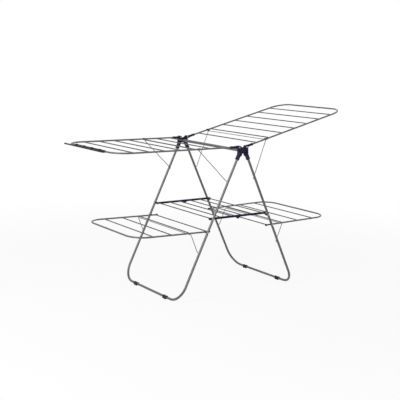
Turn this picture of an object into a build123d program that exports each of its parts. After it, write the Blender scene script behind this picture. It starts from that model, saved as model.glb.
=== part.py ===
"""Folding gull-wing clothes drying rack.

Two U-shaped leg frames cross at the top on a stretcher tube. Each carries an upper wing of rods on a
wire stay, and a lower wing on a shorter stay. A middle shelf in two halves folds up between the legs.

X runs from the left wing to the right wing, Y from the front to the back and Z up from the floor.
The origin is on the floor under the middle of the open rack. Lengths are in millimetres.
"""

import os
from math import atan2, cos, degrees, hypot, radians, sin

from build123d import *

os.makedirs("parts", exist_ok=True)

# Fits
running_fit = 0.05
moving_gap = 0.3
layer_gap = 0.4

# Leg frames: lengths along a leg start level with the stretcher
leg_spacing = 590
leg_length = 876
leg_tilt = 25.4
leg_offset = 14
leg_diameter = 13
leg_wall = 1.2
leg_bend = 90

# Feet
foot_spacing = 310
foot_length = 30
foot_wall = 2.5
foot_base = 20
foot_rib = 0.9
foot_rib_length = 4

# Stretcher
stretcher_diameter = 16
stretcher_wall = 1.2
cap_flange = 22
cap_thickness = 3
cap_plug_length = 18
cap_edge = 1.2
cap_dish_diameter = 14
cap_dish_depth = 0.8
collar_diameter = 22
collar_length = 4

# Leg sockets: a sleeve round the leg, a knuckle round the stretcher and an ear for the wing
sleeve_diameter = 22.4
sleeve_start = 18
sleeve_end = 58
sleeve_draft = 0.6
sleeve_rim = 1.0
mouth_length = 6
mouth_bead = 0.5
tube_seat = 22
knuckle_diameter = 28
arm_length = 34
ear_diameter = 18
ear_outer = -5
ear_inner = 10.6
gusset_end = 30

# Upper wings
wing_pivot_across = 24
wing_pivot_rise = 19.4
wing_length = 734
wing_inset = 12
wing_diameter = 9
wing_wall = 1.0
wing_bend = 90
left_wing_angle = 0
right_wing_angle = 14.35
wing_rod_count = 7
wing_rod_first = 81
wing_rod_pitch = 92
rod_diameter = 6
rod_wall = 0.8

# Hinge sleeves of the upper wings
hinge_pin_diameter = 5
hinge_head_diameter = 10
hinge_head_thickness = 2
hinge_sleeve_diameter = 13.6
hinge_sleeve_start = 10.5
hinge_sleeve_end = 51
hinge_sleeve_draft = 0.6
hinge_tube_seat = 14
hinge_eye_diameter = 16
hinge_lug_thickness = 7.6
hinge_lug_length = 30

# Stays of the upper wings
wire_diameter = 4
wire_bend = 7
stay_along = 184
stay_inset = 19.5
stay_tip_inset = 2
left_stay_reach = 249
right_stay_reach = 150

# Clips that hold the stays on the wing rails
clip_diameter = 11.6
clip_length = 12
clip_mouth_inset = 10
clip_tongue_inner = 31
clip_tongue_rise = 2.6
clip_tongue_width = 11
clip_lip_depth = 4.4
clip_lip_width = 3
clip_lip_outer = 25

# Hanger strip on the left wing's end bar: it grips the bar and its tail runs on past the back bend
strip_grip = 166
strip_tail = 277
strip_wall = 1.8
strip_fin = 11
strip_fin_thickness = 6.5
strip_fin_drop = 2.5
strip_tail_round = 4
hook_count = 4
hook_spacing = 86
hook_length = 30
hook_height = 10
hook_thickness = 5
hook_tip = 3

# Lower wings
lower_along = 478
lower_angle = 1.2
lower_length = 428
lower_inner = 30
lower_left_inset = 27
lower_right_inset = 15
lower_diameter = 9
lower_wall = 1.0
lower_bend = 90
lower_rod_count = 4
lower_rod_first = -20
lower_rod_pitch = 112
lower_pin_diameter = 4
lower_head_diameter = 8
lower_bush_diameter = 9
lower_cap_wall = 1.0
lower_cap_length = 9
lower_cap_end = 3
lower_stay_along = 594
lower_stay_rod = 1
lower_stay_beside = 1
lower_stay_under = 0.8

# Middle shelf
shelf_along = 403
shelf_bar_height = 11
shelf_bar_thickness = 8
shelf_bar_inset = 27
shelf_rod_seat = 4
shelf_rod_count = 3
shelf_rod_first = 36
shelf_rod_pitch = 70
shelf_eye_diameter = 14
shelf_pin_diameter = 5
shelf_head_diameter = 9
shelf_head_thickness = 2
shelf_bush_diameter = 12
shelf_peg_drop = 9
shelf_hinge_drop = 11
shelf_knuckle_diameter = 10
shelf_hinge_pin_diameter = 3
shelf_web_length = 20
shelf_meeting_gap = 0.4
shelf_pocket_depth = 1.2
shelf_pocket_rim = 2.2

# Sizes that follow from those above
half_spacing = leg_spacing / 2
leg_radius = leg_diameter / 2
stretcher_radius = stretcher_diameter / 2
sleeve_radius = sleeve_diameter / 2
wing_radius = wing_diameter / 2
rod_radius = rod_diameter / 2
rod_bore = rod_radius - rod_wall
wire_radius = wire_diameter / 2
lower_radius = lower_diameter / 2
bar_height = leg_radius + foot_wall
left_reach = wing_pivot_across + wing_length + strip_fin + wing_radius
right_reach = wing_pivot_across + wing_length * cos(radians(right_wing_angle)) + wing_radius
hub_x = (left_reach - right_reach) / 2
hub_z = bar_height + leg_length * cos(radians(leg_tilt)) - leg_offset * sin(radians(leg_tilt))
stay_drop = rod_radius + wire_radius + moving_gap
lower_stay_drop = lower_radius + wire_radius + lower_stay_under
lower_stay_step = lower_radius + wire_radius + lower_stay_beside
outer_layer = (-sleeve_radius, -layer_gap / 2)
inner_layer = (layer_gap / 2, sleeve_radius)
wing_lug_outer = ear_inner + moving_gap
wing_lug_inner = wing_lug_outer + hinge_lug_thickness
shelf_bar_outer = shelf_bar_inset - shelf_bar_thickness / 2
shelf_bar_inner = shelf_bar_inset + shelf_bar_thickness / 2
left = -1
right = 1
wing_angle = {left: left_wing_angle, right: right_wing_angle}
stay_reach = {left: left_stay_reach, right: right_stay_reach}
lower_inset = {left: lower_left_inset, right: lower_right_inset}
lower_arm_inset = {left: lower_left_inset - lower_stay_step, right: lower_right_inset + lower_stay_step}
side_name = {left: "left", right: "right"}


def at_inset(inset):
    """Upright plane facing the front, measured inward from the front legs."""
    return Plane.XZ.offset(half_spacing - inset)


def frame_plane(side, spot, angle):
    """Plane of a leg, wing or stay frame, with its second direction pointing outward at an angle."""
    turn = radians(angle)
    return Plane(origin=(spot[0], 0, spot[1]), x_dir=(0, -side, 0), z_dir=(-side * sin(turn), 0, cos(turn)))


def turned(side, angle, along, rise):
    """Step along a direction that points outward at an angle, and square to it, as (x, z)."""
    turn = radians(angle)
    return (side * (along * cos(turn) - rise * sin(turn)), along * sin(turn) + rise * cos(turn))


def leg_spot(side, along, out):
    """Point on a leg frame as (x, z): along the leg, and outward from the stretcher."""
    step = turned(side, leg_tilt - 90, along, out)
    return (hub_x + step[0], hub_z + step[1])


def wing_spot(side, along, rise):
    """Point on an upper wing as (x, z), from its pivot."""
    step = turned(side, wing_angle[side], along, rise)
    return (hub_x + side * wing_pivot_across + step[0], hub_z + wing_pivot_rise + step[1])


def lower_spot(side, along, rise):
    """Point on a lower wing as (x, z), from its pivot on the leg."""
    pivot = leg_spot(side, lower_along, leg_offset)
    step = turned(side, lower_angle, along, rise)
    return (pivot[0] + step[0], pivot[1] + step[1])


def shelf_spot(side, along, rise):
    """Point on a shelf half as (x, z), from the rack's middle towards the leg."""
    level = leg_spot(side, shelf_along, leg_offset)[1]
    return (hub_x + side * along, level + rise)


def shelf_half_length():
    """Distance from the rack's middle to the leg at the shelf."""
    return right * (leg_spot(right, shelf_along, leg_offset)[0] - hub_x)


def front_point(spot, inset):
    """Point in space from (x, z) and an inset from the front legs."""
    return (spot[0], inset - half_spacing, spot[1])


def direction(side, angle):
    """Unit vector that points outward at an angle."""
    step = turned(side, angle, 1, 0)
    return (step[0], 0, step[1])


def bent_tube(plane, half_width, start, end, bend, radius, wall):
    """U-shaped tube: two rails and the bar that joins their far ends."""
    with BuildPart() as tube:
        with BuildLine(plane) as route:
            FilletPolyline(
                (-half_width, start), (-half_width, end), (half_width, end), (half_width, start), radius=bend
            )
        with BuildSketch(Plane(origin=route.line @ 0, z_dir=route.line % 0)):
            Circle(radius)
            Circle(radius - wall, mode=Mode.SUBTRACT)
        sweep(path=route.line)
    return tube.part


def cross_bars(spots, radius, half_length, bore=0):
    """Round bars, holes or bored tubes that run from front to back through each (x, z) spot."""
    with BuildPart(mode=Mode.PRIVATE) as bars:
        with BuildSketch(Plane.XZ):
            with Locations(*spots):
                Circle(radius)
                if bore:
                    Circle(bore, mode=Mode.SUBTRACT)
        extrude(amount=half_length, both=True)
    return bars.part


def save(part, name):
    """Label a finished piece and write its file."""
    part.label = name
    export_step(part, "parts/" + name + ".step")


# Stretcher with its caps and collars
stretcher_end = half_spacing + sleeve_radius + moving_gap
with BuildPart() as stretcher_tube:
    with BuildSketch(Plane.XZ):
        with Locations((hub_x, hub_z)):
            Circle(stretcher_radius)
            Circle(stretcher_radius - stretcher_wall, mode=Mode.SUBTRACT)
    extrude(amount=stretcher_end, both=True)
save(stretcher_tube.part, "stretcher_tube")

with BuildPart() as stretcher_cap_front:
    with BuildSketch(Plane.XZ.offset(stretcher_end)):
        with Locations((hub_x, hub_z)):
            Circle(cap_flange / 2)
    extrude(amount=cap_thickness)
    fillet(stretcher_cap_front.faces().sort_by(Axis.Y)[0].edges(), cap_edge)
    with BuildSketch(Plane.XZ.offset(stretcher_end + cap_thickness)):
        with Locations((hub_x, hub_z)):
            Circle(cap_dish_diameter / 2)
    extrude(amount=-cap_dish_depth, mode=Mode.SUBTRACT)
    with BuildSketch(Plane.XZ.offset(stretcher_end)):
        with Locations((hub_x, hub_z)):
            Circle(stretcher_radius - stretcher_wall - running_fit)
    extrude(amount=-cap_plug_length)
save(stretcher_cap_front.part, "stretcher_cap_front")

with BuildPart() as stretcher_cap_back:
    add(mirror(stretcher_cap_front.part, about=Plane.XZ, mode=Mode.PRIVATE))
save(stretcher_cap_back.part, "stretcher_cap_back")

with BuildPart() as stretcher_collars:
    with BuildSketch(at_inset(sleeve_radius + moving_gap + collar_length)):
        with Locations((hub_x, hub_z)):
            Circle(collar_diameter / 2)
            Circle(stretcher_radius, mode=Mode.SUBTRACT)
    extrude(amount=collar_length)
    mirror(about=Plane.XZ)
save(stretcher_collars.part, "stretcher_collars")


def leg_tube(side):
    """Bent leg frame with the holes for its pins and its wire stays."""
    pin_reach = half_spacing + leg_diameter
    shelf_hole = shelf_along if side == left else shelf_along + shelf_peg_drop
    plane = frame_plane(side, leg_spot(side, 0, leg_offset), leg_tilt - 90)
    with BuildPart() as tube:
        add(bent_tube(plane, half_spacing, tube_seat, leg_length, leg_bend, leg_radius, leg_wall))
        add(
            cross_bars([leg_spot(side, shelf_hole, leg_offset)], shelf_pin_diameter / 2, pin_reach),
            mode=Mode.SUBTRACT,
        )
        add(
            cross_bars([leg_spot(side, lower_along, leg_offset)], lower_pin_diameter / 2, pin_reach),
            mode=Mode.SUBTRACT,
        )
        stay_holes = [leg_spot(side, along, leg_offset) for along in (stay_along, lower_stay_along)]
        add(cross_bars(stay_holes, wire_radius + running_fit, half_spacing), mode=Mode.SUBTRACT)
    return tube.part


def socket(side, layer):
    """Front leg socket: sleeve, knuckle in its own layer, and the wing's ear with its gusset."""
    ear = wing_spot(side, 0, 0)
    inner_edge = leg_offset - sleeve_radius
    outer_edge = leg_offset + sleeve_radius
    sleeve_axis = direction(side, leg_tilt - 90)
    low = max(layer[0], ear_outer)
    high = min(layer[1], wing_inset - hinge_sleeve_diameter / 2 - moving_gap)
    gusset_inner = wing_inset - hinge_sleeve_diameter / 2 - moving_gap
    sleeve_top = front_point(leg_spot(side, sleeve_start, leg_offset), 0)
    mouth = front_point(leg_spot(side, sleeve_end, leg_offset), 0)
    seat = front_point(leg_spot(side, tube_seat, leg_offset), 0)
    with BuildPart() as piece:
        with BuildSketch(Plane(origin=sleeve_top, z_dir=sleeve_axis)):
            Circle(sleeve_radius)
        extrude(amount=sleeve_end - sleeve_start, taper=sleeve_draft)
        with BuildSketch(Plane(origin=mouth, z_dir=sleeve_axis)):
            Circle(sleeve_radius + mouth_bead)
        extrude(amount=-mouth_length)
        rim = piece.faces().sort_by(Axis((0, 0, 0), sleeve_axis))[-1]
        fillet(rim.edges(), sleeve_rim)
        with BuildSketch(at_inset(layer[1])):
            with Locations((hub_x, hub_z)):
                Circle(knuckle_diameter / 2)
            with BuildLine():
                Polyline(
                    leg_spot(side, 0, inner_edge),
                    leg_spot(side, arm_length, inner_edge),
                    leg_spot(side, arm_length, leg_offset),
                    leg_spot(side, 0, leg_offset),
                    close=True,
                )
            make_face()
        extrude(amount=layer[1] - layer[0])
        with BuildSketch(at_inset(high)):
            with BuildLine():
                CenterArc((hub_x, hub_z), knuckle_diameter / 2, 0, 360)
                CenterArc(ear, ear_diameter / 2, 0, 360)
            make_hull()
        extrude(amount=high - low)
        with BuildSketch(at_inset(gusset_inner)):
            with BuildLine():
                CenterArc(ear, ear_diameter / 2, 0, 360)
                Polyline(
                    leg_spot(side, gusset_end, outer_edge - sleeve_rim),
                    leg_spot(side, gusset_end, leg_offset),
                    leg_spot(side, sleeve_start, leg_offset),
                    close=True,
                )
            make_hull()
        extrude(amount=gusset_inner - ear_outer)
        with BuildSketch(at_inset(ear_inner)):
            with Locations(ear):
                Circle(ear_diameter / 2)
        extrude(amount=ear_inner - ear_outer)
        with BuildSketch(at_inset(sleeve_radius + layer_gap)):
            with Locations((hub_x, hub_z)):
                Circle(stretcher_radius + running_fit)
        extrude(amount=sleeve_diameter + 2 * layer_gap, mode=Mode.SUBTRACT)
        with BuildSketch(at_inset(ear_inner + layer_gap)):
            with Locations(ear):
                Circle(hinge_pin_diameter / 2)
        extrude(amount=ear_inner + sleeve_diameter, mode=Mode.SUBTRACT)
        with BuildSketch(Plane(origin=seat, z_dir=sleeve_axis)):
            Circle(leg_radius)
        extrude(amount=sleeve_end, mode=Mode.SUBTRACT)
    return piece.part


def foot(side):
    """Front foot: a clip round the bottom bar with a flat sole and a rib over each end."""
    bar = leg_spot(side, leg_length, leg_offset)
    start = half_spacing - (foot_spacing + foot_length) / 2
    rib_radius = leg_radius + foot_wall + foot_rib
    with BuildPart() as piece:
        with BuildSketch(at_inset(start + foot_length)):
            with BuildLine():
                CenterArc(bar, leg_radius + foot_wall, 0, 360)
                Line((bar[0] - foot_base / 2, 0), (bar[0] + foot_base / 2, 0))
            make_hull()
        extrude(amount=foot_length)
        for rib_start in (start + foot_rib_length, start + foot_length):
            with BuildSketch(at_inset(rib_start)):
                with BuildLine():
                    CenterArc(bar, rib_radius, 0, 180)
                    Line((bar[0] - rib_radius, bar[1]), (bar[0] + rib_radius, bar[1]))
                make_face()
            extrude(amount=foot_rib_length)
        with BuildSketch(at_inset(start + foot_length)):
            with Locations(bar):
                Circle(leg_radius)
        extrude(amount=foot_length, mode=Mode.SUBTRACT)
    return piece.part


def headed_pins(spot, radius, start, end, head_radius, head_thickness, end_head):
    """Front and back pins along Y, with a head outside the leg and one at the inner end if asked."""
    with BuildPart() as pins:
        with BuildSketch(at_inset(end)):
            with Locations(spot):
                Circle(radius)
        extrude(amount=end - start)
        with BuildSketch(at_inset(start)):
            with Locations(spot):
                Circle(head_radius)
        extrude(amount=head_thickness)
        if end_head:
            with BuildSketch(at_inset(end)):
                with Locations(spot):
                    Circle(head_radius)
            extrude(amount=-head_thickness)
        mirror(about=Plane.XZ)
    return pins.part


def bushes(spot, outer_radius, bore_radius, start, end):
    """Front and back spacers along Y."""
    with BuildPart() as rings:
        with BuildSketch(at_inset(end)):
            with Locations(spot):
                Circle(outer_radius)
                Circle(bore_radius, mode=Mode.SUBTRACT)
        extrude(amount=end - start)
        mirror(about=Plane.XZ)
    return rings.part


# Leg frames with their sockets, feet, pins and spacers
for side, layer in ((left, outer_layer), (right, inner_layer)):
    name = side_name[side]
    with BuildPart() as frame_of_legs:
        add(leg_tube(side))
    save(frame_of_legs.part, name + "_leg_tube")

    with BuildPart() as socket_front:
        add(socket(side, layer))
    save(socket_front.part, name + "_socket_front")
    with BuildPart() as socket_back:
        add(mirror(socket_front.part, about=Plane.XZ, mode=Mode.PRIVATE))
    save(socket_back.part, name + "_socket_back")

    with BuildPart() as foot_front:
        add(foot(side))
    save(foot_front.part, name + "_foot_front")
    with BuildPart() as foot_back:
        add(mirror(foot_front.part, about=Plane.XZ, mode=Mode.PRIVATE))
    save(foot_back.part, name + "_foot_back")

    wing_pins = headed_pins(
        wing_spot(side, 0, 0),
        hinge_pin_diameter / 2,
        ear_outer,
        wing_lug_inner + moving_gap,
        hinge_head_diameter / 2,
        hinge_head_thickness,
        True,
    )
    save(wing_pins, name + "_wing_pins")

    bush_start = leg_radius
    shelf_at = shelf_along if side == left else shelf_along + shelf_peg_drop
    shelf_pins = headed_pins(
        leg_spot(side, shelf_at, leg_offset),
        shelf_pin_diameter / 2,
        -leg_radius,
        shelf_bar_inner + moving_gap,
        shelf_head_diameter / 2,
        shelf_head_thickness,
        side == left,
    )
    save(shelf_pins, name + ("_shelf_pins" if side == left else "_shelf_pegs"))
    shelf_bushes = bushes(
        leg_spot(side, shelf_at, leg_offset),
        shelf_bush_diameter / 2,
        shelf_pin_diameter / 2,
        bush_start,
        shelf_bar_outer - moving_gap,
    )
    save(shelf_bushes, name + "_shelf_spacers")

    lower_pins = headed_pins(
        leg_spot(side, lower_along, leg_offset),
        lower_pin_diameter / 2,
        -leg_radius,
        lower_inset[side] + lower_radius + moving_gap,
        lower_head_diameter / 2,
        hinge_head_thickness,
        True,
    )
    save(lower_pins, name + "_lower_pins")
    lower_bushes = bushes(
        leg_spot(side, lower_along, leg_offset),
        lower_bush_diameter / 2,
        lower_pin_diameter / 2,
        bush_start,
        lower_inset[side] - lower_radius - moving_gap,
    )
    save(lower_bushes, name + "_lower_spacers")


def hinge_sleeve(side):
    """Front hinge sleeve of an upper wing: an eye on the pin and a socket for the rail."""
    angle = wing_angle[side]
    rail = direction(side, angle)
    start = front_point(wing_spot(side, hinge_sleeve_start, 0), wing_inset)
    seat = front_point(wing_spot(side, hinge_tube_seat, 0), wing_inset)
    mouth = front_point(wing_spot(side, hinge_sleeve_end, 0), wing_inset)
    half = hinge_sleeve_diameter / 2
    lug_half = hinge_eye_diameter / 2 - sleeve_rim
    with BuildPart() as piece:
        with BuildSketch(Plane(origin=start, z_dir=rail)):
            Circle(half)
        extrude(amount=hinge_sleeve_end - hinge_sleeve_start, taper=hinge_sleeve_draft)
        with BuildSketch(Plane(origin=mouth, z_dir=rail)):
            Circle(half + mouth_bead)
        extrude(amount=-mouth_length)
        rim = piece.faces().sort_by(Axis((0, 0, 0), rail))[-1]
        fillet(rim.edges(), sleeve_rim)
        with BuildSketch(at_inset(wing_lug_inner)):
            with BuildLine():
                CenterArc(wing_spot(side, 0, 0), hinge_eye_diameter / 2, 0, 360)
                Polyline(
                    wing_spot(side, hinge_lug_length, -half / 2),
                    wing_spot(side, hinge_lug_length, half / 2),
                    wing_spot(side, hinge_sleeve_start, lug_half),
                    wing_spot(side, hinge_sleeve_start, -lug_half),
                    close=True,
                )
            make_hull()
        extrude(amount=hinge_lug_thickness)
        with BuildSketch(Plane(origin=seat, z_dir=rail)):
            Circle(wing_radius)
        extrude(amount=hinge_sleeve_end, mode=Mode.SUBTRACT)
        with BuildSketch(at_inset(wing_lug_inner + moving_gap)):
            with Locations(wing_spot(side, 0, 0)):
                Circle(hinge_pin_diameter / 2 + running_fit)
        extrude(amount=hinge_lug_thickness + 2 * moving_gap, mode=Mode.SUBTRACT)
    return piece.part


def stay_clips(side):
    """Clips snapped on the rails from inside, each with a tongue over the stay and a lip behind it."""
    reach = stay_reach[side]
    rail = direction(side, wing_angle[side])
    start = front_point(wing_spot(side, reach - clip_length / 2, 0), wing_inset)
    tongue_under = wire_radius + moving_gap - stay_drop
    edge = clip_tongue_width / 2
    with BuildPart() as piece:
        with BuildSketch(Plane(origin=start, z_dir=rail)):
            Circle(clip_diameter / 2)
        extrude(amount=clip_length)
        with BuildSketch(at_inset(clip_mouth_inset)):
            with Locations(wing_spot(side, reach, 0)):
                Circle(clip_length)
        extrude(amount=clip_diameter, mode=Mode.SUBTRACT)
        with BuildSketch(at_inset(clip_tongue_inner)):
            with BuildLine():
                Polyline(
                    wing_spot(side, reach - edge, tongue_under),
                    wing_spot(side, reach + edge, tongue_under),
                    wing_spot(side, reach + edge, clip_tongue_rise),
                    wing_spot(side, reach - edge, clip_tongue_rise),
                    close=True,
                )
            make_face()
        extrude(amount=clip_tongue_inner - wing_inset)
        with BuildSketch(at_inset(clip_tongue_inner)):
            with BuildLine():
                Polyline(
                    wing_spot(side, reach - edge, clip_tongue_rise),
                    wing_spot(side, reach - edge, tongue_under - clip_lip_depth),
                    wing_spot(side, reach - edge + clip_lip_width, tongue_under - clip_lip_depth),
                    wing_spot(side, reach - edge + clip_lip_width, clip_tongue_rise),
                    close=True,
                )
            make_face()
        extrude(amount=clip_tongue_inner - clip_lip_outer)
        with BuildSketch(Plane(origin=start, z_dir=rail)):
            Circle(wing_radius)
        extrude(amount=clip_length, mode=Mode.SUBTRACT)
        mirror(about=Plane.XZ)
    return piece.part


def wire_stay(side, foot_spot, tip_spot, inset):
    """Bent wire stay: two arms, the crossbar that joins them, and tips turned out into the legs."""
    run = (tip_spot[0] - foot_spot[0], tip_spot[1] - foot_spot[1])
    length = hypot(run[0], run[1])
    angle = degrees(atan2(run[1], side * run[0]))
    plane = frame_plane(side, foot_spot, angle)
    arm = half_spacing - inset
    tip = half_spacing - stay_tip_inset
    with BuildPart() as piece:
        with BuildLine(plane) as route:
            FilletPolyline(
                (-tip, 0), (-arm, 0), (-arm, length), (arm, length), (arm, 0), (tip, 0), radius=wire_bend
            )
        with BuildSketch(Plane(origin=route.line @ 0, z_dir=route.line % 0)):
            Circle(wire_radius)
        sweep(path=route.line)
    return piece.part


# Upper wings with their sleeves, rods, clips and stays
for side in (left, right):
    name = side_name[side]
    rail_half = half_spacing - wing_inset
    rod_places = [wing_rod_first + wing_rod_pitch * step for step in range(wing_rod_count)]
    rod_spots = [wing_spot(side, along, 0) for along in rod_places]
    plane = frame_plane(side, wing_spot(side, 0, 0), wing_angle[side])
    with BuildPart() as wing_frame:
        add(bent_tube(plane, rail_half, hinge_tube_seat, wing_length, wing_bend, wing_radius, wing_wall))
        add(cross_bars(rod_spots, rod_radius, rail_half), mode=Mode.SUBTRACT)
    save(wing_frame.part, name + "_wing_frame")
    with BuildPart() as wing_rods:
        add(cross_bars(rod_spots, rod_radius, rail_half, rod_bore))
    save(wing_rods.part, name + "_wing_rods")

    with BuildPart() as sleeve_front:
        add(hinge_sleeve(side))
    save(sleeve_front.part, name + "_wing_sleeve_front")
    with BuildPart() as sleeve_back:
        add(mirror(sleeve_front.part, about=Plane.XZ, mode=Mode.PRIVATE))
    save(sleeve_back.part, name + "_wing_sleeve_back")

    save(stay_clips(side), name + "_stay_clips")
    stay_foot = leg_spot(side, stay_along, leg_offset)
    stay_tip = wing_spot(side, stay_reach[side], -stay_drop)
    save(wire_stay(side, stay_foot, stay_tip, stay_inset), name + "_stay")

# Hanger strip on the left wing's end bar
def fin_outline(start, end):
    """Corners of the strip's fin between two places along the left wing, as (x, z)."""
    top = strip_fin_thickness / 2 - strip_fin_drop
    bottom = top - strip_fin_thickness
    corners = ((start, bottom), (end, bottom), (end, top), (start, top))
    return [wing_spot(left, along, rise) for along, rise in corners]


def hook_outline():
    """Corners of a hanger hook: along the strip to the front, and up from the fin's middle."""
    base = strip_fin_thickness / 2
    top = base + hook_height
    half = hook_length / 2
    return [
        (-half, 0),
        (-half * 0.8, base + hook_height * 0.6),
        (-half * 0.3, top),
        (half, top),
        (half, top - hook_tip),
        (0, top - hook_tip * 1.2),
        (-half * 0.15, base + hook_height * 0.4),
        (half * 0.05, 0),
    ]


with BuildPart() as hanger_strip:
    bar = wing_spot(left, wing_length, 0)
    fin_edge = wing_length + wing_radius + strip_fin
    with BuildSketch(Plane.XZ.offset(-strip_grip)):
        with BuildLine():
            Polyline(*fin_outline(wing_length + wing_radius + layer_gap, fin_edge), close=True)
        make_face()
    extrude(amount=strip_grip - strip_tail)
    tail_end = hanger_strip.faces().sort_by(Axis.Y)[-1]
    fillet(tail_end.edges().filter_by(Axis.Z).sort_by(Axis.X)[0], strip_tail_round)
    with BuildSketch(Plane.XZ):
        with Locations(bar):
            Circle(wing_radius + strip_wall)
        with BuildLine():
            Polyline(*fin_outline(wing_length, fin_edge), close=True)
        make_face()
        with Locations(bar):
            Circle(wing_radius, mode=Mode.SUBTRACT)
    extrude(amount=strip_grip, both=True)
    hook_foot = wing_spot(left, fin_edge - hook_thickness, -strip_fin_drop)
    with BuildSketch(Plane(origin=(hook_foot[0], 0, hook_foot[1]), x_dir=(0, -1, 0), z_dir=(-1, 0, 0))):
        with GridLocations(hook_spacing, hook_spacing, hook_count, 1):
            Polygon(*hook_outline(), align=None)
    extrude(amount=hook_thickness)
save(hanger_strip.part, "left_hanger_strip")

# Lower wings with their rods, end caps and stays
for side in (left, right):
    name = side_name[side]
    rail_half = half_spacing - lower_inset[side]
    rod_places = [lower_rod_first + lower_rod_pitch * step for step in range(lower_rod_count)]
    rod_spots = [lower_spot(side, along, 0) for along in rod_places]
    pivot = lower_spot(side, 0, 0)
    plane = frame_plane(side, pivot, lower_angle)
    with BuildPart() as lower_frame:
        add(bent_tube(plane, rail_half, -lower_inner, lower_length, lower_bend, lower_radius, lower_wall))
        add(cross_bars(rod_spots, rod_radius, rail_half), mode=Mode.SUBTRACT)
        add(cross_bars([pivot], lower_pin_diameter / 2 + running_fit, half_spacing), mode=Mode.SUBTRACT)
    save(lower_frame.part, name + "_lower_frame")
    with BuildPart() as lower_rods:
        add(cross_bars(rod_spots, rod_radius, rail_half, rod_bore))
    save(lower_rods.part, name + "_lower_rods")

    inward = direction(side, lower_angle + 180)
    cap_start = lower_inner + lower_cap_end - lower_cap_length
    with BuildPart() as end_caps:
        mouth = front_point(lower_spot(side, -cap_start, 0), lower_inset[side])
        with BuildSketch(Plane(origin=mouth, z_dir=inward)):
            Circle(lower_radius + lower_cap_wall)
        extrude(amount=lower_cap_length)
        fillet(end_caps.faces().sort_by(Axis((0, 0, 0), inward))[-1].edges(), lower_cap_wall)
        with BuildSketch(Plane(origin=mouth, z_dir=inward)):
            Circle(lower_radius)
        extrude(amount=lower_cap_length - lower_cap_end, mode=Mode.SUBTRACT)
        mirror(about=Plane.XZ)
    save(end_caps.part, name + "_lower_caps")

    lower_foot = leg_spot(side, lower_stay_along, leg_offset)
    lower_reach = lower_rod_first + lower_rod_pitch * lower_stay_rod
    lower_tip = lower_spot(side, lower_reach, -lower_stay_drop)
    save(wire_stay(side, lower_foot, lower_tip, lower_arm_inset[side]), name + "_lower_stay")


def shelf_rod_spots(side):
    """Places of a shelf half's rods as (x, z)."""
    places = [shelf_rod_first + shelf_rod_pitch * step for step in range(shelf_rod_count)]
    return [shelf_spot(side, along, 0) for along in places]


def shelf_bar(side):
    """Front side bar of a shelf half: an eye at the leg, a hinge knuckle under the middle, a long pocket."""
    half_length = shelf_half_length()
    half_height = shelf_bar_height / 2
    end_radius = shelf_eye_diameter / 2 if side == left else half_height
    knuckle = shelf_spot(side, 0, -shelf_hinge_drop)
    if side == left:
        knuckle_layer = (shelf_bar_outer, shelf_bar_inset - layer_gap / 2)
    else:
        knuckle_layer = (shelf_bar_inset + layer_gap / 2, shelf_bar_inner)
    pocket_length = half_length - shelf_web_length - shelf_eye_diameter
    with BuildPart() as piece:
        with BuildSketch(at_inset(shelf_bar_inner)):
            with BuildLine():
                Polyline(
                    shelf_spot(side, shelf_meeting_gap / 2, -half_height),
                    shelf_spot(side, half_length, -half_height),
                    shelf_spot(side, half_length, half_height),
                    shelf_spot(side, shelf_meeting_gap / 2, half_height),
                    close=True,
                )
            make_face()
            with Locations(shelf_spot(side, half_length, 0)):
                Circle(end_radius)
        extrude(amount=shelf_bar_thickness)
        with BuildSketch(at_inset(knuckle_layer[1])):
            with BuildLine():
                CenterArc(knuckle, shelf_knuckle_diameter / 2, 0, 360)
                Line(
                    shelf_spot(side, shelf_knuckle_diameter / 2 + layer_gap, -half_height),
                    shelf_spot(side, shelf_web_length, -half_height),
                )
            make_hull()
        extrude(amount=knuckle_layer[1] - knuckle_layer[0])
        clearance = 0 if side == left else running_fit
        with BuildSketch(at_inset(shelf_bar_inner + layer_gap)):
            with Locations(knuckle):
                Circle(shelf_hinge_pin_diameter / 2 + clearance)
        extrude(amount=shelf_bar_thickness + 2 * layer_gap, mode=Mode.SUBTRACT)
        if side == left:
            with BuildSketch(at_inset(shelf_bar_inner + layer_gap)):
                with Locations(shelf_spot(side, half_length, 0)):
                    Circle(shelf_pin_diameter / 2 + running_fit)
            extrude(amount=shelf_bar_thickness + 2 * layer_gap, mode=Mode.SUBTRACT)
        with BuildSketch(at_inset(shelf_bar_inner)):
            with Locations(*shelf_rod_spots(side)):
                Circle(rod_radius)
        extrude(amount=shelf_rod_seat, mode=Mode.SUBTRACT)
        with BuildSketch(at_inset(shelf_bar_outer)):
            with Locations(shelf_spot(side, shelf_web_length + pocket_length / 2, 0)):
                SlotOverall(pocket_length, shelf_bar_height - 2 * shelf_pocket_rim)
        extrude(amount=-shelf_pocket_depth, mode=Mode.SUBTRACT)
    return piece.part


# Middle shelf in two halves
for side in (left, right):
    name = "shelf_" + side_name[side]
    with BuildPart() as bar_front:
        add(shelf_bar(side))
    save(bar_front.part, name + "_bar_front")
    with BuildPart() as bar_back:
        add(mirror(bar_front.part, about=Plane.XZ, mode=Mode.PRIVATE))
    save(bar_back.part, name + "_bar_back")
    rod_half = half_spacing - shelf_bar_inner + shelf_rod_seat
    with BuildPart() as shelf_rods:
        add(cross_bars(shelf_rod_spots(side), rod_radius, rod_half, rod_bore))
    save(shelf_rods.part, name + "_rods")

with BuildPart() as hinge_pins:
    with BuildSketch(at_inset(shelf_bar_inner)):
        with Locations(shelf_spot(left, 0, -shelf_hinge_drop)):
            Circle(shelf_hinge_pin_diameter / 2)
    extrude(amount=shelf_bar_thickness)
    mirror(about=Plane.XZ)
save(hinge_pins.part, "shelf_hinge_pins")
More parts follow.
